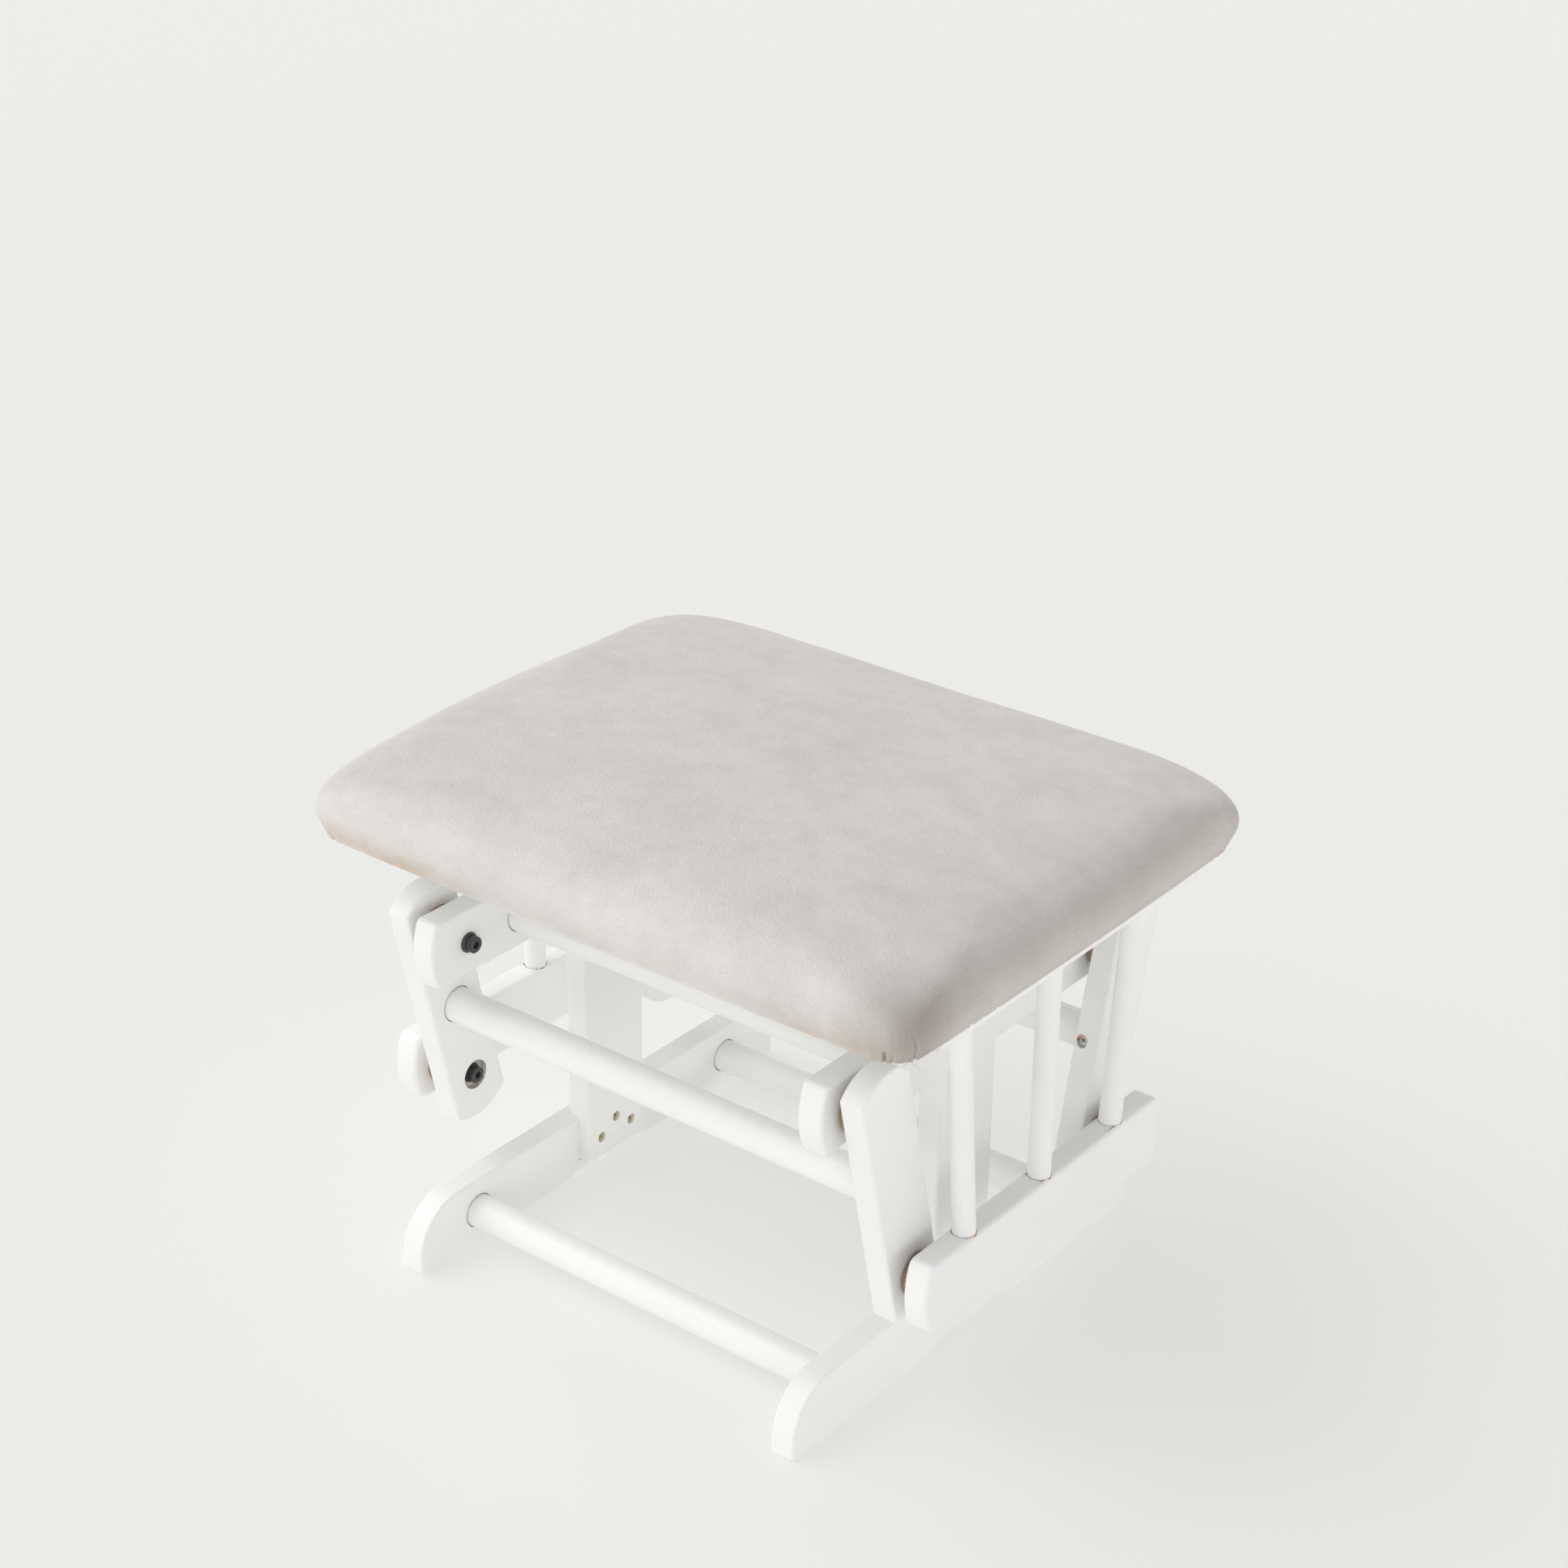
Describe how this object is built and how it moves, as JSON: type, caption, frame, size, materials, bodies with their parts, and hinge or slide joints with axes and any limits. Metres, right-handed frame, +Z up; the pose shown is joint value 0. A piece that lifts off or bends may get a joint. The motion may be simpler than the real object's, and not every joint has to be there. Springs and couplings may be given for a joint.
{
  "type": "glider ottoman",
  "caption": "White wooden glider ottoman: a padded suede footstool whose seat frame swings fore and aft on hinged links hung from a standing base.",
  "frame": {"origin": "on the floor under the middle of the ottoman, with the seat at rest", "axes": "+Z up, Y from front to rear along the glide, X along the dowels from left to right"},
  "size_m": [0.5278, 0.4184, 0.3904],
  "materials": {
    "white_wood": "white satin paint on solid wood with softly rounded edges",
    "suede": "grey suede-like microfibre with a short mottled nap",
    "plywood": "raw plywood",
    "lining": "thin white non-woven lining",
    "yellow_zinc": "yellow zinc plated steel screws",
    "bright_steel": "bright zinc plated steel",
    "black_steel": "black oxide steel",
    "black_plastic": "black moulded plastic",
    "brown_plastic": "brown moulded plastic",
    "brass": "brass threaded inserts"
  },
  "bodies": {
    "base": {"runner_left": "white_wood", "runner_right": "white_wood", "post_left": "white_wood", "post_right": "white_wood", "arm_left": "white_wood", "arm_right": "white_wood", "base_stretcher_front": "white_wood", "base_stretcher_rear": "white_wood", "arm_stretcher_front": "white_wood", "arm_stretcher_rear": "white_wood", "post_screws": "yellow_zinc", "arm_screws": "yellow_zinc", "arm_bushes": "black_plastic"},
    "front_links": {"front_link_left": "white_wood", "front_link_right": "white_wood", "front_link_stretcher": "white_wood", "front_lock_screws": "bright_steel", "front_upper_bolts": "black_steel", "front_upper_washers": "black_steel", "front_upper_spacers": "brown_plastic", "front_link_inserts": "brass", "front_lower_bushes": "black_plastic"},
    "rear_links": {"rear_link_left": "white_wood", "rear_link_right": "white_wood", "rear_link_stretcher": "white_wood", "rear_lock_screws": "bright_steel", "rear_upper_bolts": "black_steel", "rear_upper_washers": "black_steel", "rear_upper_spacers": "brown_plastic", "rear_link_inserts": "brass"},
    "seat": {"lower_rail_left": "white_wood", "lower_rail_right": "white_wood", "upper_rail_left": "white_wood", "upper_rail_right": "white_wood", "spindle_left_front": "white_wood", "spindle_left_middle": "white_wood", "spindle_left_rear": "white_wood", "spindle_right_front": "white_wood", "spindle_right_middle": "white_wood", "spindle_right_rear": "white_wood", "seat_board": "plywood", "seat_lining": "lining", "cushion": "suede", "pad_screws": "bright_steel", "front_lower_bolts": "black_steel", "rear_lower_bolts": "black_steel", "lower_washers": "black_steel", "lower_spacers": "brown_plastic", "rail_inserts": "brass", "rear_lower_bushes": "black_plastic"}
  },
  "joints": [
    {"name": "front_links_swing", "type": "hinge", "parent": "base", "child": "front_links", "pos_m": [0, -0.141, 0.246], "axis": [1, 0, 0], "range_deg": [-12, 12]},
    {"name": "rear_links_swing", "type": "hinge", "parent": "base", "child": "rear_links", "pos_m": [0, 0.141, 0.246], "axis": [1, 0, 0], "range_deg": [-12, 12]},
    {"name": "seat_swing", "type": "hinge", "parent": "front_links", "child": "seat", "pos_m": [0, -0.11006, 0.11459], "axis": [1, 0, 0], "range_deg": [-15.4, 15.4]}
  ],
  "couplings": [
    {"joint": "rear_links_swing", "follows": "front_links_swing", "ratio": 1},
    {"joint": "seat_swing", "follows": "front_links_swing", "ratio": -1.277}
  ]
}
